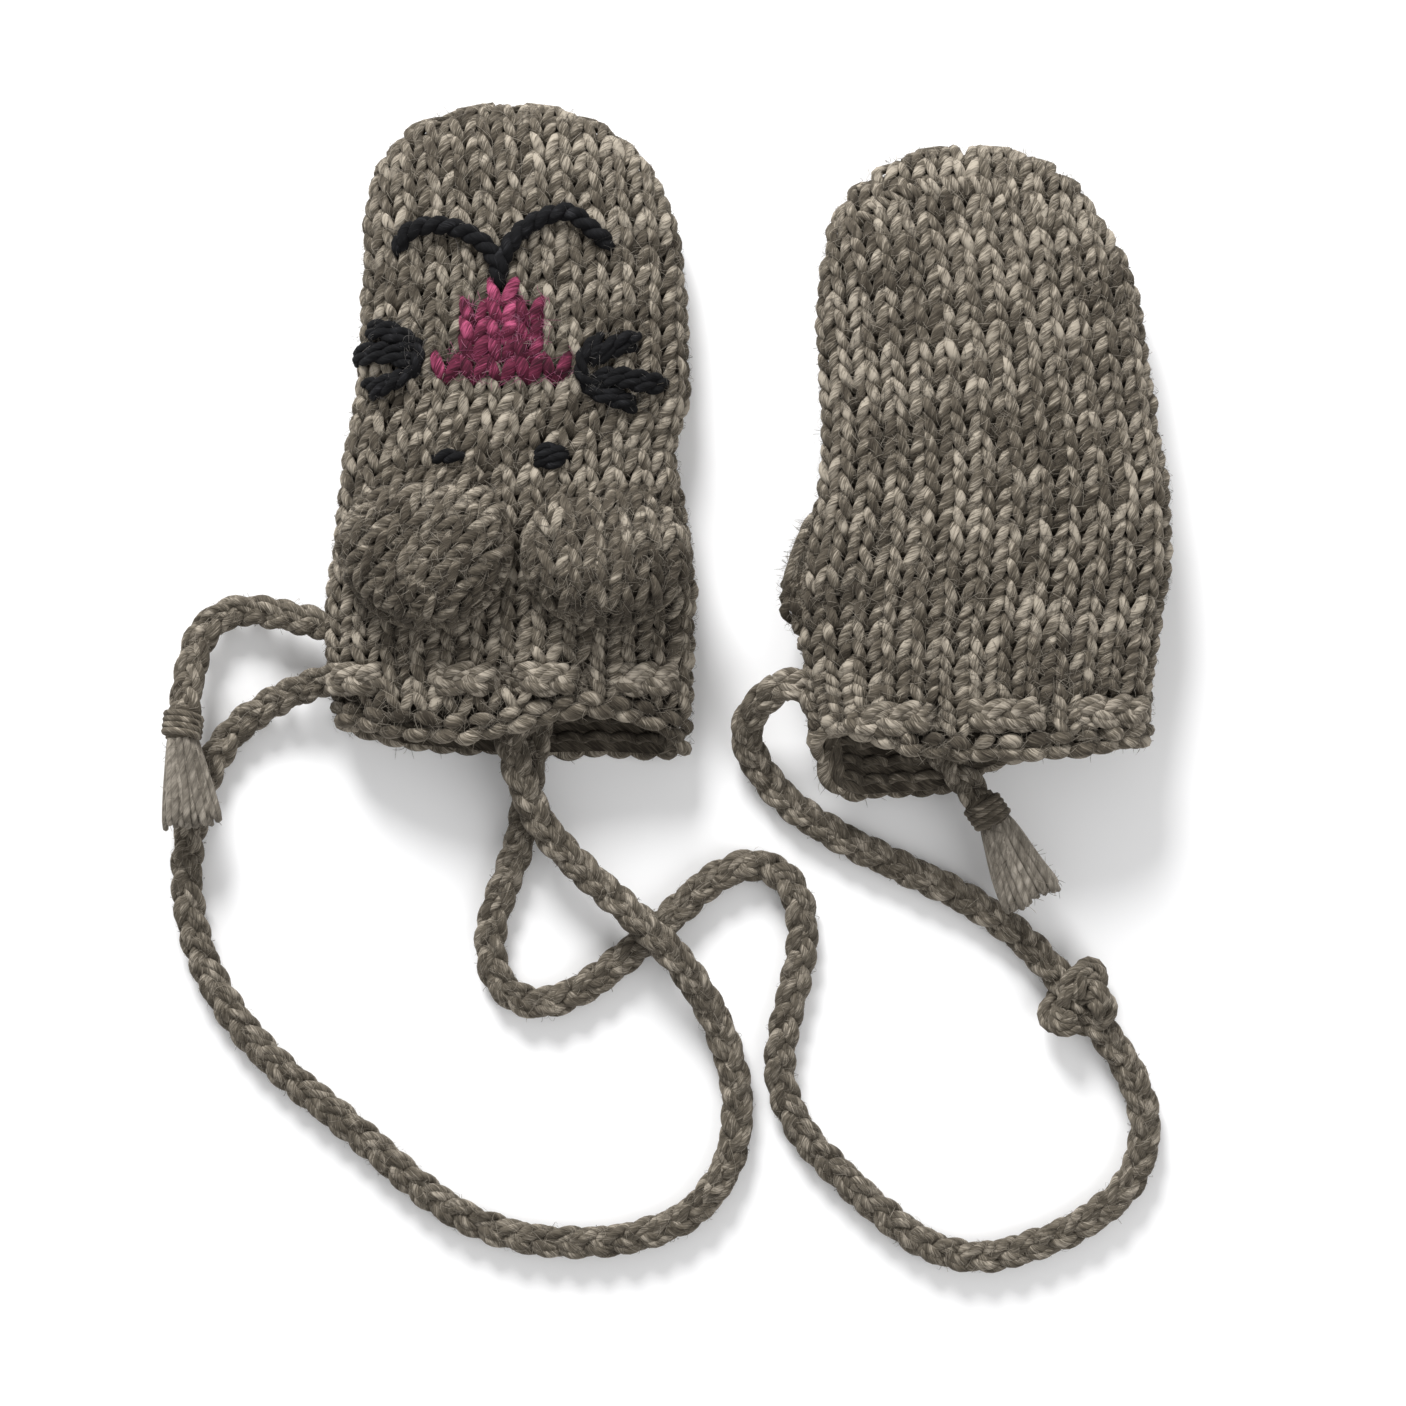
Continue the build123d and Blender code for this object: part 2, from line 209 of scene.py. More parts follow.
# ---------------------------------------------------------------- materials
def wool(name, dark, light, pale, fibre=1.0, sheen=0.35, contrast=1.0, bump=0.00035):
    """Spun wool: colour changes along the yarn, fine twisted fibres, two plies."""
    m = bpy.data.materials.new(name)
    m.use_nodes = True
    t = m.node_tree
    t.nodes.clear()
    new = t.nodes.new

    def link(a, b):
        t.links.new(a, b)

    def maths(op, a, b=None):
        n = new("ShaderNodeMath")
        n.operation = op
        for i, x in enumerate((a, b)):
            if x is None:
                continue
            if isinstance(x, (int, float)):
                n.inputs[i].default_value = x
            else:
                link(x, n.inputs[i])
        return n.outputs[0]

    uv = new("ShaderNodeUVMap")
    uv.uv_map = "yarn"
    split = new("ShaderNodeSeparateXYZ")
    link(uv.outputs[0], split.inputs[0])
    u, v = split.outputs[0], split.outputs[1]
    tone = new("ShaderNodeAttribute")
    tone.attribute_name = "tone"
    lay = maths("ADD", v, maths("MULTIPLY", u, 0.16))
    ring = maths("MULTIPLY", lay, 2 * math.pi)
    # fibres: stretched noise round the twisted yarn
    at = new("ShaderNodeCombineXYZ")
    link(maths("MULTIPLY", u, 0.55), at.inputs[0])
    link(maths("MULTIPLY", maths("COSINE", ring), 3.2), at.inputs[1])
    link(maths("MULTIPLY", maths("SINE", ring), 3.2), at.inputs[2])
    fine = new("ShaderNodeTexNoise")
    fine.inputs["Scale"].default_value = 1.0
    fine.inputs["Detail"].default_value = 3.0
    fine.inputs["Roughness"].default_value = 0.62
    link(at.outputs[0], fine.inputs["Vector"])
    # heather: slow change along the yarn
    slow_at = new("ShaderNodeCombineXYZ")
    link(maths("MULTIPLY", u, 0.33), slow_at.inputs[0])
    link(maths("MULTIPLY", maths("COSINE", ring), 0.45), slow_at.inputs[1])
    link(maths("MULTIPLY", maths("SINE", ring), 0.45), slow_at.inputs[2])
    slow = new("ShaderNodeTexNoise")
    slow.inputs["Scale"].default_value = 1.0
    slow.inputs["Detail"].default_value = 2.0
    link(slow_at.outputs[0], slow.inputs["Vector"])
    ply = maths("ABSOLUTE", maths("SINE", ring))
    around_middle = maths("SUBTRACT", fine.outputs["Fac"], 0.5)
    mix = maths("ADD", tone.outputs["Fac"], maths("MULTIPLY", around_middle, 1.7 * contrast))
    mix = maths("ADD", mix, maths("MULTIPLY", maths("SUBTRACT", slow.outputs["Fac"], 0.5), 1.1 * contrast))
    # painted shade and light: colour darker in the grooves between the two plies, lighter on their crowns
    mix = maths("ADD", mix, maths("MULTIPLY", maths("SUBTRACT", ply, 0.6), 0.16))
    ramp = new("ShaderNodeValToRGB")
    link(mix, ramp.inputs[0])
    e = ramp.color_ramp.elements
    e[0].position, e[0].color = 0.08, (*dark, 1)
    e[1].position, e[1].color = 0.92, (*pale, 1)
    mid = ramp.color_ramp.elements.new(0.55)
    mid.color = (*light, 1)
    height = maths("ADD", maths("MULTIPLY", fine.outputs["Fac"], 0.8 * fibre), maths("MULTIPLY", ply, 0.6))
    bn = new("ShaderNodeBump")
    bn.inputs["Strength"].default_value = 0.9
    bn.inputs["Distance"].default_value = bump
    link(height, bn.inputs["Height"])
    b = new("ShaderNodeBsdfPrincipled")
    b.inputs["Roughness"].default_value = 0.92
    b.inputs["Specular IOR Level"].default_value = 0.18
    b.inputs["Sheen Weight"].default_value = sheen
    b.inputs["Sheen Roughness"].default_value = 0.55
    b.inputs["Sheen Tint"].default_value = (*pale, 1)
    link(ramp.outputs[0], b.inputs["Base Color"])
    link(bn.outputs[0], b.inputs["Normal"])
    o = new("ShaderNodeOutputMaterial")
    link(b.outputs[0], o.inputs[0])
    return m


TAUPE = wool("taupe wool", (0.024, 0.019, 0.0135), (0.098, 0.083, 0.063), (0.345, 0.305, 0.248))
BRAID = wool("taupe braid", (0.030, 0.024, 0.017), (0.112, 0.096, 0.074), (0.350, 0.310, 0.255))
TUFT = wool("taupe tassel yarn", (0.060, 0.052, 0.041), (0.165, 0.146, 0.120), (0.340, 0.306, 0.260),
            contrast=0.7)
PINK = wool("pink wool", (0.022, 0.004, 0.008), (0.110, 0.016, 0.038), (0.400, 0.080, 0.165), contrast=0.95)
BLACK = wool("black wool", (0.0025, 0.0025, 0.003), (0.006, 0.006, 0.007), (0.030, 0.030, 0.033), sheen=0.05)
FUZZ = wool("loose taupe fibres", (0.07, 0.06, 0.047), (0.20, 0.175, 0.14), (0.46, 0.41, 0.34), sheen=0.15)
FUZZ_BLACK = wool("loose black fibres", (0.01, 0.01, 0.01), (0.03, 0.03, 0.03), (0.30, 0.28, 0.26), sheen=0.1)
FUZZ_PINK = wool("loose pink fibres", (0.25, 0.05, 0.12), (0.34, 0.08, 0.16), (0.60, 0.25, 0.36), sheen=0.2)

# ---------------------------------------------------------------- the mitten's surface
# Outline of each mitten: half widths, and how far the middle lies to one side, at distances
# from the tip. A and B differ, as the two lie differently.
TIP = 135.8
FROM_TIP = np.array([0, 0.9, 3.2, 5.2, 7.2, 10, 14, 18.5, 24.5, 34, 60, 72, 90, 102, 115, 127, 145])
HALF_W = {
    "a": np.array([0, 9.0, 15.6, 19.6, 22.2, 25.0, 27.8, 29.6, 31.0, 31.9,
                   33.3, 33.0, 35.6, 37.0, 36.9, 36.0, 35.0]),
    "b": np.array([0, 9.0, 15.4, 18.8, 21.4, 23.6, 26.0, 28.4, 30.4, 32.2,
                   33.4, 35.0, 36.4, 35.4, 34.4, 33.8, 33.0]),
}
LEAN = {
    "a": np.array([0.4, 0.4, 0.5, 0.6, 0.8, 1.1, 1.6, 2.0, 2.8, 3.5, 3.3, 0.4, 1.2, 0.8, 0.4, 0.9, 0.9]),
    "b": np.array([-2.4, -2.4, -2.4, -2.4, -2.3, -2.2, -2.1, -2.9, -3.8, -4.5,
                   -6.0, -6.4, -4.3, -2.5, -1.6, -1.9, -1.9]),
}
FLAT = 0.268        # half thickness over half width
MID = 9.2
EXPO = 2.35         # flatter than an ellipse, as a mitten lying down
PITCH_N = 26        # wales round the mitten
ROW = 3.82          # height of a row of stitches
ROW0 = 25.0         # lowest row of the hand

_a = np.linspace(-math.pi, math.pi, 4001)
_sx = np.sign(np.sin(_a)) * np.abs(np.sin(_a)) ** (2 / EXPO)
_sz = FLAT * np.sign(np.cos(_a)) * np.abs(np.cos(_a)) ** (2 / EXPO)
_len = np.concatenate([[0], np.cumsum(np.hypot(np.diff(_sx), np.diff(_sz)))])
AROUND = _len[-1]
_q = _len / AROUND - 0.5


# how far each wrist edge is drawn up towards the hand, across the mitten: face layer, back layer
RIM = {
    "a": (([-38, -27, -8, 7, 17, 30, 38], [9.5, 5.4, 3.4, 7.5, 9.9, 6.7, 3.4]),
          ([-38, -23, 0, 19, 36], [7.0, 2.5, 0.4, 0.8, 0.0])),
    "b": (([-38, -14, -2, 8, 24, 34, 38], [11.5, 10.0, 6.0, 2.2, 1.6, 5.0, 9.0]),
          ([-38, -20, 0, 12, 24, 38], [11.5, 9.0, 8.6, 10.0, 14.0, 20.0])),
}
NOW = {"tag": "a"}         # the mitten being made


def half_width(y):
    d = np.clip(TIP - np.asarray(y, float), 0, None)
    return np.interp(np.sqrt(d), np.sqrt(FROM_TIP), HALF_W[NOW["tag"]])


def lean(y):
    return np.interp(TIP - np.asarray(y, float), FROM_TIP, LEAN[NOW["tag"]])


def drawn(x, y, side):
    """Where height y ends up once the wrist edge is drawn up. side: 1 face layer, 0 back layer."""
    face, back = RIM[NOW["tag"]]
    draw = side * np.interp(x, *face) + (1 - side) * np.interp(x, *back)
    return y + draw * np.clip((30 - y) / 30, 0, 1.05) ** 1.3


def skin(q, y, h=0.0):
    """Point on mitten skin. q: turns round from the face's middle (-0.5 to 0.5), y: from wrist, h: out."""
    q, y, h = np.broadcast_arrays(np.asarray(q, float), np.asarray(y, float), np.asarray(h, float))

    def at(q, y):
        k = (q + 0.5) % 1.0 - 0.5
        w = half_width(y)
        x = w * np.interp(k, _q, _sx)
        z = w * np.interp(k, _q, _sz)
        soft = smooth_noise(x * 1.0, y + 60 * (np.abs(k) > 0.25), 5, 55.0)
        fade = np.clip((TIP - y) / 20, 0, 1)
        z = z * (1 + 0.05 * soft * fade)
        side = np.clip(0.5 + z / (FLAT * w + 1e-6), 0, 1)
        x = x + lean(y)
        return np.stack([x, drawn(x, y, side), MID + z], axis=-1)

    P = at(q, y)
    eq, ey = 0.004, 0.5
    N = np.cross(at(q + eq, y) - at(q - eq, y), at(q, np.minimum(y + ey, TIP - 0.01)) - at(q, y - ey))
    N /= np.linalg.norm(N, axis=-1, keepdims=True) + 1e-9
    return P + N * h[..., None], N


def around_mm(y):
    """Length once round the mitten at height y."""
    return AROUND * half_width(y)


def q_of_x(x, y):
    """Turns round the face side for a distance across the mitten."""
    t = np.clip((np.asarray(x, float) - lean(y)) / half_width(y), -0.999, 0.999)
    keep = np.abs(_q) <= 0.25
    return np.interp(t, _sx[keep], _q[keep])


# one wale's middle is a little left of the face's middle
WALE0 = {"a": -4.0 / 145.0, "b": 0.0}
Y_FREE = 90.0


def wale_q(i, y):
    """Turns round for wale i; above Y_FREE the wales run straight and end at the outline."""
    q = i / PITCH_N + WALE0[NOW["tag"]]
    side = np.where(np.abs(q) > 0.25, np.sign(q) * 0.5, 0.0)
    return side + (q - side) * np.where(y > Y_FREE, half_width(Y_FREE) / np.maximum(half_width(y), 1e-6), 1.0)


def wale_open(i, y):
    """Whether wale i still lies inside the outline at height y."""
    q = i / PITCH_N + WALE0[NOW["tag"]]
    side = np.where(np.abs(q) > 0.25, np.sign(q) * 0.5, 0.0)
    room = np.abs(wale_q(i, y) - side)
    return (y < 40) | (room < 0.25 + 0.004)


def stitch_legs(i, y, side, grow=1.0, high=0.0, points=7):
    """Centre lines, radii and normals of V legs. i: wale, y: the V's lowest point, side: -1 or 1."""
    n = len(i)
    u = np.linspace(0, 1, points)[None, :]
    mid_y = y + 0.6 * ROW
    reach = np.minimum(mid_y, Y_FREE)
    pitch = around_mm(reach) / PITCH_N
    slack = rng.normal(0, 1, (n, 4))
    ds = (side[:, None] * pitch[:, None] * (0.05 + 0.44 * u ** 0.88)
          + 0.11 * slack[:, :1] + 0.16 * slack[:, 1:2] * (u - 0.5))
    yy = y[:, None] + ROW * (-0.15 + 1.62 * u) + 0.13 * slack[:, 2:3]
    yy = np.minimum(yy, TIP - 0.12)
    q0 = i / PITCH_N + WALE0[NOW["tag"]]
    turn = np.where(np.abs(q0) > 0.25, np.sign(q0) * 0.5, 0.0)
    s = ((q0 - turn) * around_mm(reach))[:, None] + ds
    w = around_mm(yy)
    free = np.clip((mid_y - 40) / 50, 0, 1)[:, None] > 0
    q = turn[:, None] + np.where(free, np.clip(s / np.maximum(w, 1e-3), -0.252, 0.252), s / w)
    fade = np.clip((TIP - yy) / 5.0, 0.15, 1) ** 0.5
    arch = np.sin(math.pi * np.clip(u * 0.94 + 0.03, 0, 1)) ** 0.8
    h = (-1.0 + 2.0 * arch) * fade + high + 0.15 * slack[:, 3:4]
    P, N = skin(q, yy, h)
    fat = (0.72 + 0.28 * np.sin(math.pi * u) ** 0.6) * grow * (1 + 0.07 * slack[:, 1:2])
    R = np.stack([1.16 * fat * np.ones((n, 1)), 1.06 * fat * np.ones((n, 1))], axis=2)
    return P, R, N


def yarn_tone(n, base=0.5, spread=0.12, hold=0.45):
    """Tone of neighbouring stitches, as the yarn's own colour drifts."""
    out = np.empty(n)
    now = 0.0
    for i in range(n):
        now = hold * now + math.sqrt(1 - hold * hold) * rng.normal()
        out[i] = base + spread * now
    return out


# stitches are a little darker where they dive into the fabric
SHADE = 0.26 * (np.sin(np.linspace(0, math.pi, 7)) ** 0.7 - 0.62)
NOSE = {14: 5, 15: 3, 16: 3, 17: 3, 18: 1}      # row: how many pink stitches


def hand_mesh():
    """Stockinette stitches of a hand, over a closed inner and outer skin."""
    k = Knit()
    ii, yy, tt = [], [], []
    wales = np.arange(-12, 14)
    for j in range(-1, 30):
        y = ROW0 + j * ROW
        if y > TIP - 2.4:
            break
        tone = yarn_tone(len(wales))
        for i, w in enumerate(wales):
            if not wale_open(np.array(w), np.array(y + 0.55 * ROW)):
                continue
            ii.append(w)
            yy.append(y)
            tt.append(tone[i])
    ii, yy, tt = np.array(ii, float), np.array(yy), np.array(tt)
    for side in (-1.0, 1.0):
        P, R, N = stitch_legs(ii, yy, np.full(len(ii), side))
        k.tubes(P, R, N, tt + rng.normal(0, 0.06, len(tt)), along=SHADE)
    # the fabric behind the stitches; its outer skin is painted almost black as shade in the gaps between
    # stitches, and the inner skin and wrist edge are painted darker as shade inside the mitten
    round_end = TIP - 19.6 * (1 - np.linspace(0.03, 1, 14)) ** 1.7
    ys = np.concatenate([np.linspace(17.5, 115, 40), round_end])
    ys = np.minimum(ys, TIP - 0.02)
    qs = np.linspace(-0.5, 0.5, 72, endpoint=False)
    Q, Y = np.meshgrid(qs, ys)
    outer, _ = skin(Q, Y, -0.75)
    inner_y = np.minimum(Y, TIP - 3.2)
    inner, _ = skin(Q, inner_y, -2.9)
    k.sheet(outer, 0.05, wrap=True)
    k.sheet(inner, 0.25, wrap=True, flip=True)
    k.sheet(np.stack([inner[0], outer[0]]), 0.2, wrap=True)
    return k


SPANS_A = [(-44, -25), (-15.0, -2.0), (2.4, 14.6), (22.6, 35.8)]      # where the drawstring shows
SPANS_B = [(-36, -21), (-14, 2), (9, 25)]
BACK_SPANS = [(-30, -16), (-6, 7), (17, 30)]
CORD_Y = {"a": 16.4, "b": 17.2}


def cord_spans(tag):
    """Where the drawstring lies over the knit: on the face layer and on the back layer."""
    return (SPANS_A, BACK_SPANS) if tag == "a" else (BACK_SPANS, SPANS_B)


def bump_row(k, y, n, fat=1.12, tilt=0.35, long=0.42):
    """A row of purl bumps: short arched bits of yarn lying this way and that."""
    q0 = -0.5 + np.arange(n) / n
    u = np.linspace(-1, 1, 8)[None, :]
    slack = rng.normal(0, 1, (n, 5))
    slant = np.where(np.arange(n) % 2 == 0, tilt, -tilt)[:, None] + 0.25 * slack[:, 4:5]
    arch = np.cos(0.5 * math.pi * u)
    step = around_mm(y) / n
    q = q0[:, None] + u * long * np.cos(slant) / n * (1 + 0.1 * slack[:, :1])
    y_ = y + u * long * step * np.sin(slant) + 0.35 * slack[:, 1:2] + 0.5 * (arch - 0.5)
    h = -0.95 + 2.2 * arch ** 0.8 + 0.25 * slack[:, 2:3]
    P, N = skin(q, y_, h)
    r = (0.68 + 0.36 * arch) * fat * (1 + 0.08 * slack[:, 3:4])
    k.tubes(P, np.stack([1.3 * r, 1.25 * r], axis=2), N, yarn_tone(n) + rng.normal(0, 0.08, n))


def cuff_mesh(tag):
    """Stitches of a cuff, left out where the drawstring covers them, with its cast-on edge."""
    k = Knit()
    wales = np.arange(-12, 14)
    ii, yy, tt = [], [], []
    for y in (17.3, 13.5, 9.7, 6.4):
        tone = yarn_tone(len(wales))
        P, _ = skin(wales / PITCH_N + WALE0[NOW["tag"]], np.full(len(wales), y + 2.4), 0.0)
        for i, w in enumerate(wales):
            front = P[i, 2] > MID
            spans = cord_spans(tag)[0 if front else 1]
            covered = any(lo - 0.5 < P[i, 0] < hi + 0.5 for lo, hi in spans)
            if covered and abs(P[i, 1] - CORD_Y[tag]) < 3.3:
                continue
            ii.append(w)
            yy.append(y)
            tt.append(tone[i])
    ii, yy, tt = np.array(ii, float), np.array(yy), np.array(tt)
    for side in (-1.0, 1.0):
        P, R, N = stitch_legs(ii, yy, np.full(len(ii), side), grow=1.04)
        k.tubes(P, R, N, tt + rng.normal(0, 0.06, len(tt)), along=SHADE)
    bump_row(k, 4.7, 28)
    # knobbly cast-on edge
    n = 29
    q0 = -0.5 + np.arange(n) / n
    u = np.linspace(0, 1, 9)[None, :]
    slack = rng.normal(0, 1, (n, 3))
    q = q0[:, None] + (u - 0.5) * 1.3 / n
    y_ = 1.9 + (u - 0.5) * 2.0 + 0.3 * slack[:, :1] - 1.2 * np.sin(math.pi * u)
    P, N = skin(q, y_, -1.2 + 1.9 * np.sin(math.pi * u) + 0.25 * slack[:, 1:2])
    r = (0.75 + 0.4 * np.sin(math.pi * u)) * (1 + 0.08 * slack[:, 2:3])
    k.tubes(P, np.stack([1.35 * r, 1.35 * r], axis=2), N, yarn_tone(n, 0.52))
    # inside of the band: plain purl bumps seen through the mouth, given a low tone as painted shade inside
    # the mitten
    for y in (3.0, 7.0, 11.0, 15.0):
        q0 = -0.5 + np.arange(PITCH_N) / PITCH_N
        q = q0[:, None] + (u - 0.5) * 1.1 / PITCH_N
        P, N = skin(q, y + 0.9 * np.sin(math.pi * u), -2.8 - 0.9 * np.sin(math.pi * u))
        k.tubes(P, [[(1.0, 0.7)] * 9], N, yarn_tone(PITCH_N, 0.24), sides=6)
    # the fabric behind the cuff's stitches: the outer skin is painted almost black as shade in the gaps
    # between stitches, the inner skin and both edges darker as painted shade inside the mitten
    ys = np.linspace(0.4, 24.5, 12)
    qs = np.linspace(-0.5, 0.5, 72, endpoint=False)
    Q, Y = np.meshgrid(qs, ys)
    outer, _ = skin(Q, Y, -0.8)
    inner, _ = skin(Q, Y, -3.0)
    k.sheet(outer, 0.05, wrap=True)
    k.sheet(inner, 0.22, wrap=True, flip=True)
    k.sheet(np.stack([inner[0], outer[0]]), 0.25, wrap=True)
    k.sheet(np.stack([outer[-1], inner[-1]]), 0.2, wrap=True)
    return k


# ---------------------------------------------------------------- braid
def braid(k, line, up, width=CORD, tone_base=0.5, flat=1.0):
    """Three strands of three yarns each, plaited along a line of evenly spaced points."""
    period = 17.0        # length of one whole plait
    turn = 16.64         # length over which a strand's yarns turn once
    line = np.asarray(line, float)
    m = len(line)
    s = np.concatenate([[0], np.cumsum(np.linalg.norm(np.diff(line, axis=0), axis=1))])
    T = np.gradient(line, axis=0)
    T /= np.linalg.norm(T, axis=1, keepdims=True)
    up = np.broadcast_to(np.asarray(up, float), (m, 3))
    side = np.cross(T, up)
    side /= np.linalg.norm(side, axis=1, keepdims=True) + 1e-9
    top = np.cross(side, T)
    swing = 0.262 * width
    rise = 0.15 * width * flat
    for n in range(3):
        f = 2 * math.pi * (s / period + n / 3.0)
        x = swing * (np.sin(f) + 0.06 * np.sin(3 * f))
        z = rise * np.sin(2 * f)
        c = line + side * x[:, None] + top * z[:, None]
        C = np.gradient(c, axis=0)
        C /= np.linalg.norm(C, axis=1, keepdims=True)
        b = np.cross(C, top)
        b /= np.linalg.norm(b, axis=1, keepdims=True) + 1e-9
        a = np.cross(b, C)
        # three yarns lie side by side in each strand, turning slowly
        for part in range(3):
            g = 2 * math.pi * (s / turn + part / 3.0) + n
            off = 0.088 * width
            p = c + b * (off * 1.25 * np.cos(g))[:, None] + a * (off * 0.8 * flat * np.sin(g))[:, None]
            r = 0.158 * width
            tone = tone_base + rng.normal(0, 0.07)
            k.tubes(p[None], [[(r, r * (0.4 + 0.6 * flat))] * m], top[None], [tone], sides=8)


def fuzz(k, P, N, reach=3.5, wide=0.085, stand=0.75, points=6):
    """Loose fibres lying on and standing off a surface at points P with normals N."""
    n = len(P)
    side = rng.normal(0, 1, (n, 3))
    side -= N * (side * N).sum(axis=1, keepdims=True)
    side /= np.linalg.norm(side, axis=1, keepdims=True) + 1e-9
    bend = rng.normal(0, 1, (n, 3))
    length = reach * rng.uniform(0.35, 1.25, n)
    lift = rng.uniform(0.1, 1.0, n) ** 1.6 * stand
    u = np.linspace(0, 1, points)[None, :, None]
    wave = np.sin(u * 2.6 + rng.uniform(0, 3, (n, 1, 1))) * 0.22 * length[:, None, None] ** 0.5
    line = (P[:, None] + side[:, None] * (u - 0.25) * length[:, None, None]
            + N[:, None] * (np.sin(math.pi * np.clip(u, 0, 1)) * 1.3 * lift[:, None, None] + 0.1)
            + bend[:, None] * wave)
    k.ribbons(line, wide, N[:, None], rng.uniform(0.0, 1.0, n))


# ---------------------------------------------------------------- embroidery on the face
FACE_X = {"a": 0.0, "b": -6.0}      # B's face follows its leaning middle


def face_point(x, y, h):
    """Point h above the face layer."""
    return skin(q_of_x(x + FACE_X[NOW["tag"]], y), y, h)


def yarn_stroke(k, points, r=1.42, high=2.7):
    """Two-ply yarn on the face, diving into the knit at both ends."""
    line = catmull(points, 0.8)
    m = len(line)
    s = np.linspace(0, 1, m)
    h = high - 2.6 * (np.exp(-s * m / 2.0) + np.exp(-(1 - s) * m / 2.0))
    P, N = face_point(line[:, 0], line[:, 1], h)
    T = np.gradient(P, axis=0)
    T /= np.linalg.norm(T, axis=1, keepdims=True)
    B = np.cross(T, N)
    L = np.arange(m) * 0.8
    for n in range(2):
        g = 2 * math.pi * (L / 6.5 + n / 2)
        off = 0.62 * r
        C = P + B * (off * np.cos(g))[:, None] + N * (off * 0.85 * np.sin(g))[:, None]
        k.tubes(C[None], [[(r * 0.86, r * 0.8)] * m], N[None], [0.35 + rng.normal(0, 0.03)], sides=8)


MOUTH_LEFT = [
    (-1.2, 97.6), (-1.3, 101.5), (-3.2, 105.2), (-5.9, 107.5), (-8.9, 109.2),
    (-12.9, 110.2), (-17.1, 110.0), (-20.4, 108.3), (-22.2, 105.0),
]
MOUTH_RIGHT = [
    (-1.4, 97.4), (-0.6, 102.4), (1.3, 106.2), (3.9, 109.2), (8.1, 111.7),
    (13.0, 112.7), (15.8, 110.8), (18.6, 108.4), (21.8, 106.0),
]
WHISKERS_LEFT = [
    [(-17.6, 85.4), (-20.4, 87.6), (-24.2, 89.4), (-28.2, 89.8)],
    [(-18.0, 84.0), (-21.0, 86.2), (-25.0, 88.0), (-28.4, 87.9)],
    [(-17.8, 82.4), (-22.0, 84.6), (-26.4, 84.9), (-31.0, 84.6)],
    [(-18.2, 81.0), (-22.4, 82.6), (-26.6, 83.0), (-30.8, 82.5)],
    [(-18.4, 81.6), (-20.8, 79.4), (-25.0, 77.8), (-29.4, 77.6)],
    [(-19.0, 80.0), (-21.8, 77.6), (-24.8, 76.2), (-27.6, 75.0)],
    [(-18.6, 86.6), (-17.6, 83.6), (-18.4, 80.4), (-20.8, 78.2)],
]
WHISKERS_RIGHT = [
    [(16.4, 82.6), (19.8, 84.4), (23.6, 86.6), (27.6, 87.4)],
    [(17.0, 81.2), (20.6, 83.4), (24.0, 84.8), (27.0, 85.2)],
    [(17.6, 79.0), (22.4, 79.6), (27.4, 79.0), (33.0, 78.0)],
    [(17.2, 77.6), (22.4, 78.0), (27.4, 77.0), (32.0, 76.6)],
    [(16.4, 76.8), (19.4, 75.0), (23.4, 73.6), (27.0, 72.4)],
    [(17.4, 78.2), (20.0, 76.2), (23.8, 75.0), (26.6, 74.0)],
    [(20.4, 87.6), (16.6, 84.2), (15.6, 79.8), (17.8, 75.6)],
]


def nose_mesh():
    """Pink stitches worked over the knit's own; also returns where each one is."""
    k = Knit()
    ii, yy = [], []
    for row, n in NOSE.items():
        for c in range(n):
            ii.append(c - (n - 1) / 2.0)
            yy.append(ROW0 + row * ROW)
    ii, yy = np.array(ii, float), np.array(yy)
    for side in (-1.0, 1.0):
        P, R, N = stitch_legs(ii, yy - 0.2, np.full(len(ii), side), grow=1.16, high=0.7, points=10)
        k.tubes(P, R, N, 0.42 + rng.normal(0, 0.13, len(ii)), sides=10)
    return k, (ii, yy)


# ---------------------------------------------------------------- ears
def ear_surface(ear, a, b, h):
    """Point h above an ear's padded top; a across and b along from the pad's middle, both -1 to 1."""
    cx, half_w, cy, half_l, rise = ear
    rho = np.sqrt(a ** 2 + b ** 2)
    P, N = face_point(cx + a * half_w, cy + b * half_l, 0.0)
    dome = np.clip(1 - rho ** 4.6, 0, 1) ** 0.5
    gather = 1 - 0.55 * np.clip((b + 0.35) / 1.2, 0, 1) ** 1.4
    z = 0.9 + (rise - 0.9) * dome * gather + h
    return P + N * z[..., None], N


def ear_point(ear, a, b, h):
    """Point h out from the padded top, along its own normal."""
    e = 0.03
    P, _ = ear_surface(ear, a, b, 0 * a)
    A = ear_surface(ear, a + e, b, 0 * a)[0] - ear_surface(ear, a - e, b, 0 * a)[0]
    B = ear_surface(ear, a, b + e, 0 * a)[0] - ear_surface(ear, a, b - e, 0 * a)[0]
    N = np.cross(A, B)
    N /= np.linalg.norm(N, axis=-1, keepdims=True) + 1e-9
    return P + N * np.asarray(h)[..., None], N


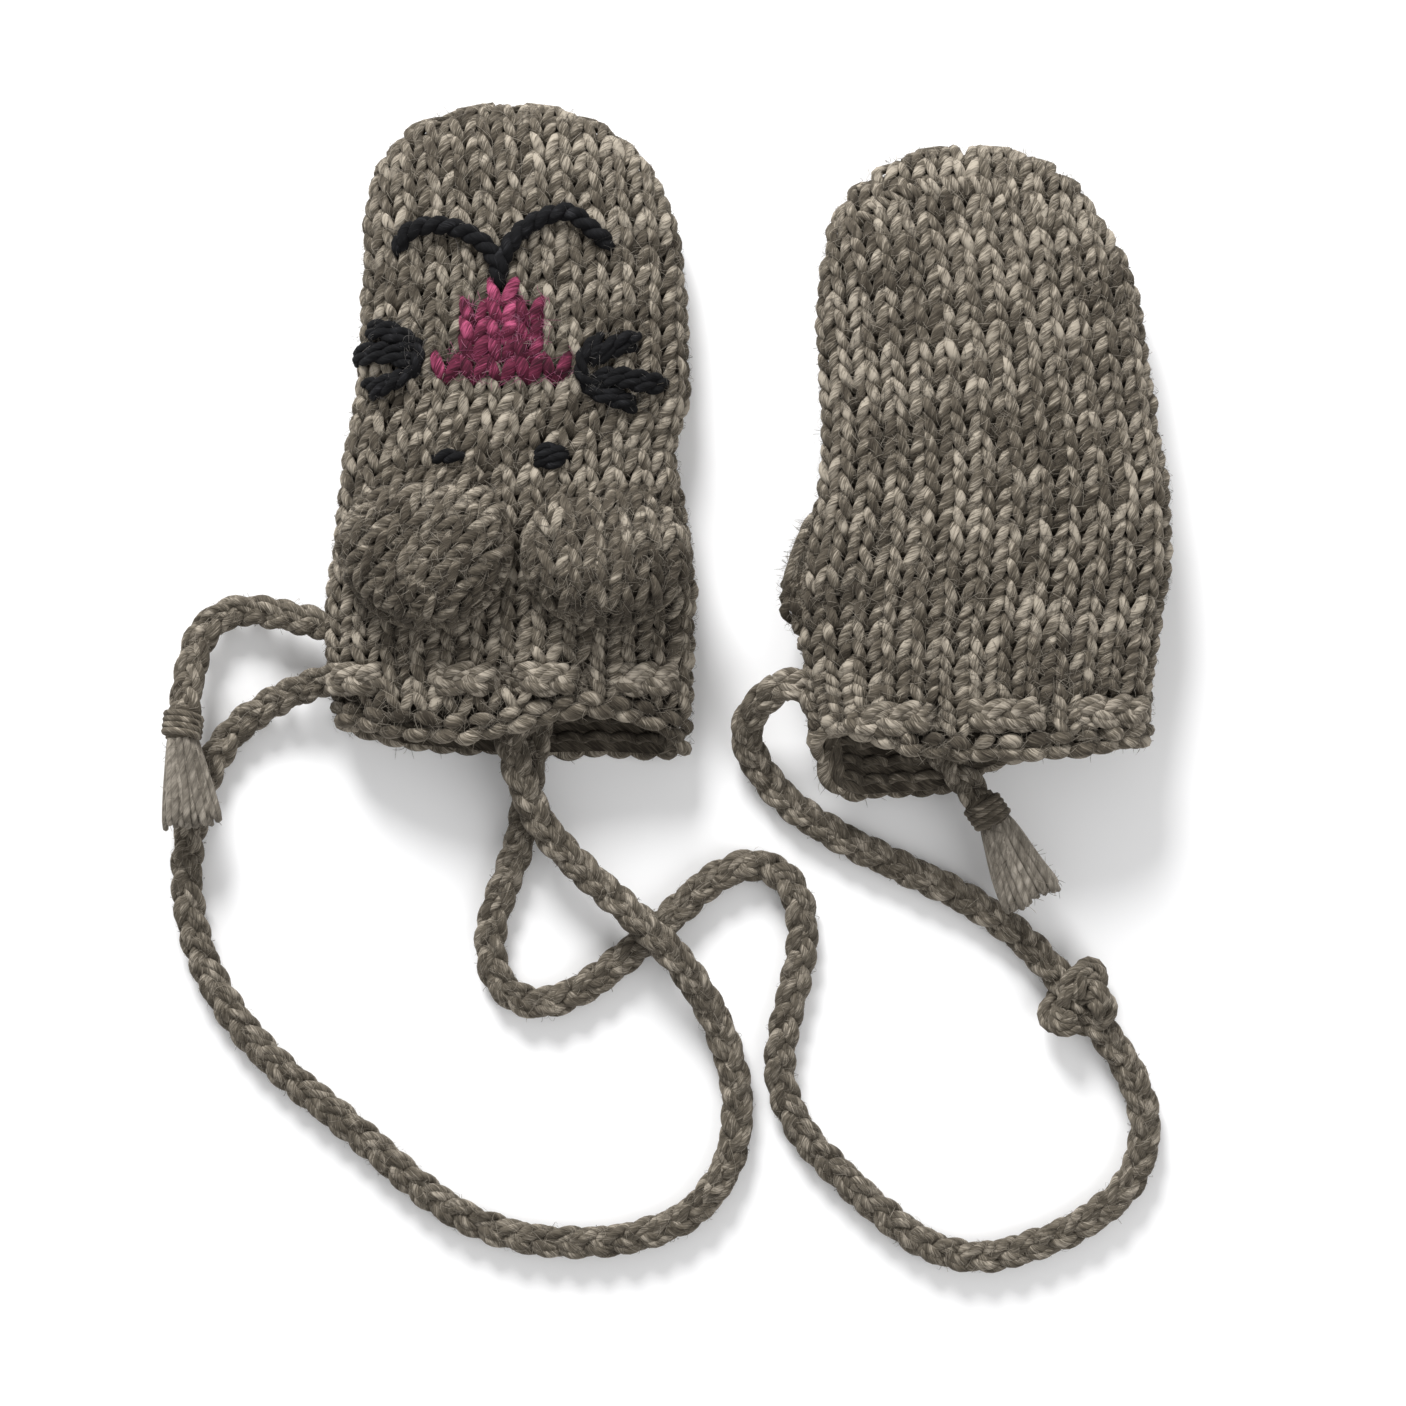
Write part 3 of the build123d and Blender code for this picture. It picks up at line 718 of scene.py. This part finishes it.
def ear_mesh(ear, angle, fan):
    """Knit pad: V stitches laid along a direction, over a closed dome."""
    cx, half_w, cy, half_l, _ = ear
    pitch, row = 5.0, 3.7
    k = Knit()
    ca, sa = math.cos(angle), math.sin(angle)
    legs_P, legs_N, tones = [], [], []
    u = np.linspace(0, 1, 8)
    for j in range(-7, 7):
        tone = yarn_tone(12)
        for c in range(-5, 6):
            for side in (-1.0, 1.0):
                slack = rng.normal(0, 1, 4)
                s = c * pitch + side * pitch * (0.05 + 0.44 * u ** 0.88) + 0.17 * slack[0]
                t = (j + 0.1) * row + row * (-0.15 + 1.62 * u) + 0.2 * slack[1]
                s = s * (1 + fan * t / half_l)
                x = s * ca - t * sa
                y = s * sa + t * ca
                a, b = x / half_w, y / half_l
                rho = np.sqrt(a ** 2 + b ** 2)
                mid = rho[3:5].mean()
                if mid > 0.93 or b[4] > 0.83:
                    continue
                squeeze = np.minimum(1.0, 0.985 / np.maximum(rho, 1e-6))
                a, b = a * squeeze, np.minimum(b * squeeze, 0.86)
                h = -0.55 + 1.5 * np.sin(math.pi * np.clip(u * 0.93 + 0.04, 0, 1)) ** 0.75 + 0.15 * slack[2]
                P, N = ear_point(ear, a, b, h)
                legs_P.append(P)
                legs_N.append(N)
                # painted shade: ear stitches are made darker overall, and more so towards the free lower edge
                # than at the sewn top
                tones.append(tone[c + 5] + rng.normal(0, 0.08) + 0.13 * b[4] - 0.07)
    fat = 0.72 + 0.28 * np.sin(math.pi * u) ** 0.6
    R = np.stack([1.16 * fat, 1.08 * fat], axis=1)[None]
    k.tubes(np.array(legs_P), R, np.array(legs_N), np.array(tones))
    # knit roll round the free edge
    n = 26
    ang = np.linspace(-math.pi - 0.62, 0.62, n)
    w = np.linspace(-0.75, 0.75, 7)[None, :] * (ang[1] - ang[0])
    aa, bb = np.cos(ang[:, None] + w), np.sin(ang[:, None] + w)
    for lift, out in ((0.5, 0.965), (-1.0, 0.945), (-1.9, 0.86)):
        cup = np.sin(np.linspace(0, math.pi, 7))[None, :]
        a = aa * out * (1 + 0.02 * cup)
        b = np.minimum(bb * out * (1 + 0.02 * cup), 0.84)
        P, N = ear_surface(ear, a, b, np.full(aa.shape, lift) + 0.5 * cup - 0.3)
        k.tubes(P, [[(1.15, 1.15)] * 7], N, yarn_tone(n, 0.46))
    # closed pad, painted darker as shade between and under the ear's stitches
    rr = np.concatenate([np.linspace(0.0, 0.9, 12), [0.945, 0.97, 0.985]])
    th = np.linspace(0, 2 * math.pi, 48, endpoint=False)
    Rr, Th = np.meshgrid(rr, th, indexing="ij")
    a, b = Rr * np.cos(Th), np.minimum(Rr * np.sin(Th), 0.84)
    topP, _ = ear_point(ear, a, b, -0.55 + 0 * a)
    base, N = face_point(cx + a * half_w * 0.97, cy + b * half_l * 0.97, 0 * a)
    under = base + N * 1.15
    k.sheet(topP, 0.22, wrap=True)
    k.sheet(under, 0.22, wrap=True, flip=True)
    k.sheet(np.stack([topP[-1], under[-1]]), 0.22, wrap=True)
    return k


def seam_mesh(points, on, n, r=0.8, tone=0.45):
    """Overcast sewing stitches along a line."""
    k = Knit()
    line = resample(catmull(points, 0.8), 0.5)
    idx = np.linspace(2, len(line) - 3, n).astype(int)
    T = np.gradient(line, axis=0)
    T /= np.linalg.norm(T, axis=1, keepdims=True)
    u = np.linspace(-1, 1, 8)[None, :, None]
    across = np.stack([-T[idx, 1], T[idx, 0]], axis=1)
    slant = across * 1.6 + T[idx] * 0.9
    p = line[idx][:, None] + slant[:, None] * u + rng.normal(0, 0.15, (n, 1, 2))
    h = 1.5 * np.sqrt(np.clip(1 - u[..., 0] ** 2, 0, 1)) + 0.2 + 0 * p[..., 0]
    P, N = on(p[..., 0], p[..., 1], h)
    k.tubes(P, [[(r, r)] * 8], N, yarn_tone(n, tone))
    return k


def back_point(x, y, h):
    """Point h out from the back layer."""
    return skin(0.5 - q_of_x(x, y), y, h)


# ---------------------------------------------------------------- mitten placement
A_WRIST = (-50.4, -66.2)
B_WRIST = (47.9, -69.5)
B_HEIGHT = 23.6
B_TILT = math.radians(2.5)
B_YAW = math.radians(1.8)
B_PIVOT = 41.0             # height along the mitten about which B tilts
B_SHIFT = (-1.1, -5.2)     # the knit of B lies this far from its CAD place


def place_a(P):
    return P + np.array([A_WRIST[0], A_WRIST[1], 0.0])


def place_b(P):
    """B turned face down, tilted on its ears and turned a little on the table."""
    P = P * np.array([-1.0, 1.0, -1.0])
    y, z = P[:, 1] - B_PIVOT, P[:, 2]
    c, s = math.cos(-B_TILT), math.sin(-B_TILT)
    P = np.stack([P[:, 0], y * c - z * s + B_PIVOT, y * s + z * c + B_HEIGHT], axis=1)
    c, s = math.cos(B_YAW), math.sin(B_YAW)
    P = np.stack([P[:, 0] * c - P[:, 1] * s, P[:, 0] * s + P[:, 1] * c, P[:, 2]], axis=1)
    return P + np.array([B_WRIST[0] + B_SHIFT[0], B_WRIST[1] + B_SHIFT[1], 0.0])


def put(k, name, material, place, body, slot, *nodes):
    """Builds a piece on its body and hides the CAD nodes it stands for; slot is not used."""
    ob = k.build(name, material, place)
    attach(ob, body)
    if nodes:
        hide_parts(*nodes)
    return ob


def drawstring_line(tag):
    """The cord's way round the cuff: over the knit in the visible spans, under it elsewhere."""
    q = np.linspace(-0.5, 0.5, 220, endpoint=False) + (0.25 if tag == "a" else -0.25)
    trial = np.linspace(0, 29, 30)
    base, _ = skin(q[:, None], trial[None, :], 0.0)
    y = np.array([np.interp(CORD_Y[tag], b, trial) for b in base[..., 1]])
    x = base[:, 15, 0]
    front = np.abs((q + 0.5) % 1.0 - 0.5) <= 0.25
    out = np.zeros_like(q)
    for over, spans in zip((front, ~front), cord_spans(tag)):
        for lo, hi in spans:
            shown = np.clip((x - lo) / 2.5, 0, 1) * np.clip((hi - x) / 2.5, 0, 1)
            out = np.maximum(out, shown * over)
    out = out * out * (3 - 2 * out)
    P, N = skin(q, y, -2.3 + 3.7 * out)
    return P, N


CORD_MEETS_B = [(4.9, -52.2, 14.3), (9.4, -50.9, 15.8), (12.0, -51.6, 15.4)]


def make_mitten(tag, place, ears, rise):
    """One mitten: hand, cuff, drawstring, embroidery, ears, sewing lines and loose fibres."""
    NOW["tag"] = tag
    body = f"mitten_{tag}"
    put(hand_mesh(), f"hand_knit_{tag}", TAUPE, place, body, "wool_hand", f"hand_{tag}")
    put(cuff_mesh(tag), f"cuff_knit_{tag}", TAUPE, place, body, "wool_cuff", f"cuff_{tag}")
    k = Knit()
    P, N = drawstring_line(tag)
    world, N = place(P), place(P + N) - place(P)
    if tag == "b":
        # from the end of the cord round the corner of the cuff
        corner = catmull([*CORD_MEETS_B, world[4]], STEP)
        world = resample(np.concatenate([corner, world[5:]]), STEP)
        new, old = np.linspace(0, 1, len(world)), np.linspace(0, 1, len(N))
        N = np.stack([np.interp(new, old, N[:, i]) for i in range(3)], axis=1)
        N[:14] = (0, 0, 1)
    braid(k, world[2:-2], N[2:-2], width=7.4, flat=0.85, tone_base=0.6)
    put(k, f"drawstring_braid_{tag}", BRAID, None, body, "wool_braid", f"drawstring_{tag}")
    k, (ni, ny) = nose_mesh()
    put(k, f"nose_stitches_{tag}", PINK, place, body, "pink_yarn", f"nose_{tag}")
    k = Knit()
    yarn_stroke(k, MOUTH_LEFT)
    yarn_stroke(k, MOUTH_RIGHT)
    put(k, f"mouth_yarn_{tag}", BLACK, place, body, "black_yarn", f"mouth_{tag}")
    for side, fan in (("left", WHISKERS_LEFT), ("right", WHISKERS_RIGHT)):
        k = Knit()
        for line in fan:
            yarn_stroke(k, line, r=1.08, high=2.5 + rng.uniform(-0.2, 0.5))
        put(k, f"whiskers_yarn_{side}_{tag}", BLACK, place, body, "black_yarn", f"whiskers_{side}_{tag}")
    k = Knit()
    stitch = [(-14.8, 61.5), (-12.6, 62.3), (-10.2, 62.3), (-8.2, 62.0)]
    yarn_stroke(k, stitch, r=1.12, high=2.6)
    put(k, f"eye_left_yarn_{tag}", BLACK, place, body, "black_yarn", f"eye_left_{tag}")
    k = Knit()
    for off in (-1.3, 0.0, 1.3):
        knot = [(5.9, 62 + off * 0.7), (8.0, 62.4 + off), (10.6, 62.2 + off), (12.6, 61.9 + off * 0.6)]
        yarn_stroke(k, knot, r=1.1, high=2.9 - 0.35 * abs(off))
    put(k, f"eye_right_yarn_{tag}", BLACK, place, body, "black_yarn", f"eye_right_{tag}")
    for side, ear in ears.items():
        cx, half_w, top, half_l, angle, fan = ear
        geo = (cx, half_w, top - 0.84 * half_l, half_l, rise)
        k = ear_mesh(geo, angle, fan)
        ear_body = f"ear_{side}_{tag}"
        ob = put(k, f"ear_knit_{side}_{tag}", TAUPE, place, ear_body, "wool_ear", ear_body)
        line = [(cx - 0.72 * half_w, top + 0.2), (cx, top + 1.4), (cx + 0.72 * half_w, top + 0.2)]
        seam = seam_mesh(line, face_point, 11)
        put(seam, f"ear_sewing_{side}_{tag}", TAUPE, place, body, "wool_seam", f"ear_{side}_seam_{tag}")
        kf = Knit()
        n = 1800
        a = rng.uniform(-1, 1, n)
        b = rng.uniform(-1, 0.8, n)
        ok = a * a + b * b < 0.98
        P, N = ear_point(geo, a[ok], b[ok], np.full(ok.sum(), 1.1))
        fuzz(kf, P, N)
        put(kf, f"ear_fuzz_{side}_{tag}", FUZZ, place, ear_body, "wool_ear")
    arc = [(-20, 119), (-14, 123.5), (-6, 126.6), (3, 127.2), (12, 125.4), (19, 121)]
    seam = seam_mesh(arc, back_point, 20, tone=0.6)
    put(seam, f"tip_sewing_{tag}", TAUPE, place, body, "wool_seam", f"tip_seam_{tag}")
    kf = Knit()
    n = 16500
    q = rng.uniform(-0.5, 0.5, n)
    y = rng.uniform(0, TIP - 0.8, n)
    ok = rng.uniform(0, 1, n) < np.clip(half_width(y) / 36, 0.1, 1)
    P, N = skin(q[ok], y[ok], 1.3)
    fuzz(kf, P, N)
    put(kf, f"hand_fuzz_{tag}", FUZZ, place, body, "wool_hand")
    kf = Knit()
    n = 420
    strokes = [MOUTH_LEFT, MOUTH_RIGHT] + WHISKERS_LEFT + WHISKERS_RIGHT
    spots = np.concatenate([catmull(points, 0.3) for points in strokes])
    pick = spots[rng.integers(0, len(spots), n)] + rng.normal(0, 1.2, (n, 2))
    P, N = face_point(pick[:, 0], pick[:, 1], np.full(n, 2.6))
    fuzz(kf, P, N, reach=3.4, wide=0.07)
    put(kf, f"face_fuzz_{tag}", FUZZ_BLACK, place, body, "black_yarn")
    kf = Knit()
    n = 420
    pick = rng.integers(0, len(ni), n)
    x0 = (ni[pick] + rng.uniform(-0.6, 0.6, n)) * 5.6 + 0.2
    y0 = ny[pick] + rng.uniform(-1, 5.5, n)
    P, N = face_point(x0, y0, np.full(n, 1.9))
    fuzz(kf, P, N, reach=3.0)
    put(kf, f"nose_fuzz_{tag}", FUZZ_PINK, place, body, "pink_yarn")


# ear: middle across, half width, sewn edge, half length, direction of the wales, fanning
EARS_A = {"left": (-15.2, 16.6, 57.0, 16.3, -0.62, 0.12), "right": (19.8, 15.6, 54.0, 14.6, 0.05, 0.06)}
EARS_B = {"left": (-12.6, 15.6, 56.0, 16.2, -0.4, 0.1), "right": (27.2, 17.0, 61.0, 15.6, 0.1, 0.06)}
EAR_RISE_A = 11.0
EAR_RISE_B = 5.8           # pressed under the mitten
make_mitten("a", place_a, EARS_A, EAR_RISE_A)
make_mitten("b", place_b, EARS_B, EAR_RISE_B)

# ---------------------------------------------------------------- cords
FLOOR = 3.5
MAIN_ROUTE = [
    (-87.2, -49.6, 9.0), (-92.8, -51.3, 7.4), (-100.4, -54.6, 4.4), (-108.4, -60.0, FLOOR),
    (-114.2, -68.8, FLOOR), (-117.6, -79.5, FLOOR), (-118.9, -90.5, FLOOR), (-117.6, -102.5, FLOOR),
    (-113.2, -114.0, FLOOR), (-106.0, -124.8, FLOOR), (-96.2, -134.6, FLOOR), (-84.6, -143.6, FLOOR),
    (-74.1, -153.0, FLOOR), (-63.6, -161.8, FLOOR), (-51.0, -167.4, FLOOR), (-37.4, -169.2, FLOOR),
    (-23.7, -168.0, FLOOR), (-12.2, -163.6, FLOOR), (-4.6, -154.6, FLOOR), (-1.6, -142.4, FLOOR),
    (-3.4, -129.8, FLOOR), (-8.4, -118.0, 4.6), (-15.0, -107.8, 10.7), (-24.4, -98.8, 10.7),
    (-34.0, -90.6, 8.4), (-43.0, -81.4, 10.8), (-48.0, -69.9, 13.0), (-51.4, -54.0, 13.0),
    (-60.4, -36.0, 10.4), (-68.4, -17.0, 8.6), (-67.0, 4.0, 8.6), (-50.4, 15.0, 8.6),
    (-34.0, 4.0, 8.6), (-31.6, -17.0, 8.4), (-37.6, -36.0, 7.4), (-43.4, -54.0, 6.5),
    (-46.0, -69.0, 6.4), (-47.6, -83.6, FLOOR), (-51.9, -94.1, FLOOR), (-55.0, -104.6, FLOOR),
    (-53.2, -114.2, FLOOR), (-45.4, -119.2, FLOOR), (-35.6, -116.0, FLOOR), (-25.4, -108.2, FLOOR),
    (-15.6, -99.4, FLOOR), (-7.4, -91.6, FLOOR), (1.8, -88.0, FLOOR), (9.6, -92.4, FLOOR),
    (12.2, -102.6, FLOOR), (10.0, -114.8, FLOOR), (7.0, -125.6, FLOOR), (6.6, -135.6, FLOOR),
    (11.2, -145.8, FLOOR), (19.3, -154.2, FLOOR), (28.0, -162.2, FLOOR), (37.2, -169.4, FLOOR),
    (48.0, -172.6, FLOOR), (59.6, -170.0, FLOOR), (71.4, -165.0, FLOOR), (81.0, -157.0, FLOOR),
    (84.8, -145.4, FLOOR), (81.8, -133.6, FLOOR), (74.4, -123.2, 4.4), (65.6, -112.2, 4.4),
    (56.0, -102.4, FLOOR), (44.8, -95.2, FLOOR), (32.6, -89.6, FLOOR), (20.8, -84.0, FLOOR),
    (10.0, -77.4, FLOOR), (2.6, -69.6, FLOOR), (-1.0, -61.4, 6.6), (1.6, -54.6, 11.8),
    (6.3, -51.8, 15.0),
]
END_A_ROUTE = [
    (-88.0, -38.6, 9.0), (-98.0, -36.2, 6.4), (-107.6, -34.6, 3.9), (-114.6, -38.6, 5.2),
    (-117.2, -47.0, 8.6), (-118.0, -57.2, 10.9),
]
END_B_ROUTE = [
    (11.8, -41.0, 14.4), (21.6, -47.0, 13.0), (29.0, -54.0, 12.0), (36.0, -61.0, 11.6),
    (43.0, -67.6, 11.4), (48.6, -75.6, 11.2),
]


def spline_line(name, route):
    """The smooth line of a cord: a NURBS spline with the route's points as its control points."""
    cu = bpy.data.curves.new(name, "CURVE")
    cu.dimensions = "3D"
    cu.resolution_u = 10
    sp = cu.splines.new("NURBS")
    sp.points.add(len(route) - 1)
    for p, co in zip(sp.points, route):
        p.co = (*((np.array(co) + CENTRED) * MM), 1.0)
    sp.order_u = 3
    sp.use_endpoint_u = True
    ob = bpy.data.objects.new(name, cu)
    bpy.context.scene.collection.objects.link(ob)
    me = bpy.data.meshes.new_from_object(ob)
    pts = np.empty(len(me.vertices) * 3)
    me.vertices.foreach_get("co", pts)
    bpy.data.objects.remove(ob)
    bpy.data.meshes.remove(me)
    return resample(pts.reshape(-1, 3) / MM - CENTRED, STEP)


def cord_piece(name, route, body, node):
    """A braided cord with its loose fibres: its object, line, path in metres and length in metres."""
    line = spline_line(name + "_line", route)
    k = Knit()
    braid(k, line, (0, 0, 1))
    ob = k.build(name, BRAID)
    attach(ob, body)
    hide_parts(node)
    path = [tuple(float(c) for c in (p + CENTRED) * MM) for p in line]
    length = float(np.linalg.norm(np.diff(line, axis=0), axis=1).sum()) * MM
    kf = Knit()
    n = int(length / MM * 5)
    at = rng.integers(1, len(line) - 1, n)
    T = (line[at + 1] - line[at - 1])
    T /= np.linalg.norm(T, axis=1, keepdims=True)
    side = np.cross(T, (0, 0, 1))
    ang = rng.uniform(-0.2, math.pi + 0.2, n)
    N = side * np.cos(ang)[:, None] + np.cross(side, T) * np.sin(ang)[:, None]
    fuzz(kf, line[at] + N * 2.9, N, reach=2.6, stand=0.5)
    fz = kf.build(name + "_fuzz", FUZZ)
    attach(fz, body)
    return ob, line, path, length


main, _, main_path, main_length = cord_piece("main_cord_braid", MAIN_ROUTE, "mitten_a", "main_cord")
end_a, line_a, path_a, length_a = cord_piece("cord_end_braid_a", END_A_ROUTE, "mitten_a", "cord_end_a")
end_b, line_b, path_b, length_b = cord_piece("cord_end_braid_b", END_B_ROUTE, "mitten_b", "cord_end_b")

# the knot: a trefoil of braid around the cord, which runs straight through it
KNOT_AT = np.array([70.0, -117.7, 5.6])
t = np.linspace(0.35, 2 * math.pi - 0.35, 60)
knot = np.stack([np.sin(t) + 2 * np.sin(2 * t), np.cos(t) - 2 * np.cos(2 * t), -np.sin(3 * t)], axis=1)
knot = knot * np.array([2.35, 1.75, 2.0])
ca, sa = math.cos(math.radians(51)), math.sin(math.radians(51))
knot = KNOT_AT + np.stack(
    [knot[:, 0] * ca - knot[:, 1] * sa, knot[:, 0] * sa + knot[:, 1] * ca, knot[:, 2]], axis=1)
k = Knit()
braid(k, resample(knot, STEP), (0, 0, 1), width=6.2)
knot_ob = k.build("cord_knot_braid", BRAID)
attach(knot_ob, "mitten_a")
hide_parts("cord_knot")


def tassel(tag, line, heading, body):
    """Thread wrap and fan of yarn ends at the end of a short cord."""
    end = line[-1]
    T = line[-1] - line[-3]
    T /= np.linalg.norm(T)
    heading = np.array(heading, float)
    heading /= np.linalg.norm(heading)
    side = np.cross(T, (0, 0, 1))
    side /= np.linalg.norm(side)
    up = np.cross(side, T)
    k = Knit()
    g = np.linspace(0, 2 * math.pi * 3.5, 150)
    r = 3.5
    helix = (end + T * (0.2 + 4.4 * np.linspace(0, 1, 150))[:, None]
             + side * (r * np.cos(g))[:, None] + up * (r * np.sin(g))[:, None])
    k.tubes(helix[None], [[(0.85, 0.8)] * 150], [[tuple(T)] * 150], [0.45], sides=8)
    core = end + T * np.linspace(-1.0, 5.4, 12)[:, None]
    k.tubes(core[None], [[(3.3, 3.3)] * 12], [[tuple(up)] * 12], [0.35], sides=14)
    wrap = k.build(f"tassel_wrap_yarn_{tag}", TAUPE)
    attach(wrap, body)
    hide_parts(f"tassel_wrap_{tag}")
    k = Knit()
    n = 60
    start = end + T * 5.0
    across = np.cross(heading, (0, 0, 1))
    across /= np.linalg.norm(across)
    rad = np.sqrt(rng.uniform(0, 1, n))
    ang = rng.uniform(0, 2 * math.pi, n)
    u = np.linspace(0, 1, 12)[None, :, None]
    a0 = rad * np.cos(ang)
    z0 = rad * np.sin(ang)
    length = rng.uniform(16.8, 19.0, n)
    upwards = np.array([0, 0, 1.0])

    def waver():
        return np.sin(u * rng.uniform(3, 7, (n, 1, 1)) + rng.uniform(0, 6, (n, 1, 1)))

    lines = (start + heading * (u * length[:, None, None])
             + across * (a0[:, None, None] * (2.8 + 3.7 * u ** 0.8))
             + upwards * (z0[:, None, None] * (2.7 + 0.2 * u) - 0.9 * u ** 2)
             + across * 0.28 * waver() * u
             + upwards * 0.4 * waver() * u)
    radii = [[(0.8, 0.72)] * 11 + [(0.6, 0.5)]]
    k.tubes(lines, radii, [[(0, 0, 1.0)] * 12], rng.normal(0.6, 0.10, n), sides=7)
    ends = lines.reshape(-1, 3)[rng.integers(0, n * 12, 420)]
    ob = k.build(f"tassel_yarn_{tag}", TUFT)
    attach(ob, f"tassel_{tag}")
    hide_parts(f"tassel_{tag}")
    kf = Knit()
    fuzz(kf, ends, np.tile(np.array([[0, 0, 1.0]]), (len(ends), 1)), reach=2.6)
    fz = kf.build(f"tassel_fuzz_{tag}", FUZZ)
    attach(fz, f"tassel_{tag}")
    return wrap, ob


wrap_a, tuft_a = tassel("a", line_a, (0.1, -0.99, -0.02), "mitten_a")
wrap_b, tuft_b = tassel("b", line_b, (0.42, -0.9, -0.02), "mitten_b")

# ---------------------------------------------------------------- stage, light, camera
me = bpy.data.meshes.new("floor")
me.from_pydata([(-1.5, -1.5, 0), (1.5, -1.5, 0), (1.5, 1.5, 0), (-1.5, 1.5, 0)], [], [(0, 1, 2, 3)])
floor = bpy.data.objects.new("floor", me)
bpy.context.scene.collection.objects.link(floor)
fm = bpy.data.materials.new("pale floor")
fm.use_nodes = True
fb = fm.node_tree.nodes["Principled BSDF"]
fb.inputs["Base Color"].default_value = (0.93, 0.93, 0.935, 1)
fb.inputs["Roughness"].default_value = 0.9
me.materials.append(fm)

world = bpy.data.worlds.new("studio")
bpy.context.scene.world = world
world.use_nodes = True
world.node_tree.nodes["Background"].inputs[0].default_value = (1.0, 1.0, 1.0, 1)
world.node_tree.nodes["Background"].inputs[1].default_value = 0.58


def area(name, at, size, power, look=(0, -0.04, 0)):
    li = bpy.data.lights.new(name, "AREA")
    li.shape = "DISK"
    li.size = size
    li.energy = power
    ob = bpy.data.objects.new(name, li)
    ob.location = at
    d = np.array(look) - np.array(at)
    ob.rotation_euler = (math.atan2(math.hypot(d[0], d[1]), -d[2]), 0, math.atan2(d[1], d[0]) - math.pi / 2)
    bpy.context.scene.collection.objects.link(ob)


area("key", (-0.28, 0.90, 0.62), 0.5, 20.0)
area("fill", (0.7, -0.4, 0.8), 0.9, 3.5)

cam_data = bpy.data.cameras.new("camera")
cam = bpy.data.objects.new("camera", cam_data)
bpy.context.scene.collection.objects.link(cam)
cam_data.lens = 85
cam_data.sensor_width = 36
VIEW_WIDTH = 295.3         # width of the table seen, 8 mm above it
VIEW_MIDDLE = (-9.45, -54.8)
cam.location = (
    (VIEW_MIDDLE[0] + CENTRED[0]) * MM,
    (VIEW_MIDDLE[1] + CENTRED[1]) * MM,
    (VIEW_WIDTH * cam_data.lens / cam_data.sensor_width + 8) * MM,
)
cam.rotation_euler = (0, 0, 0)
bpy.context.scene.camera = cam
bpy.context.scene.view_settings.view_transform = "Standard"
bpy.context.scene.view_settings.look = "None"
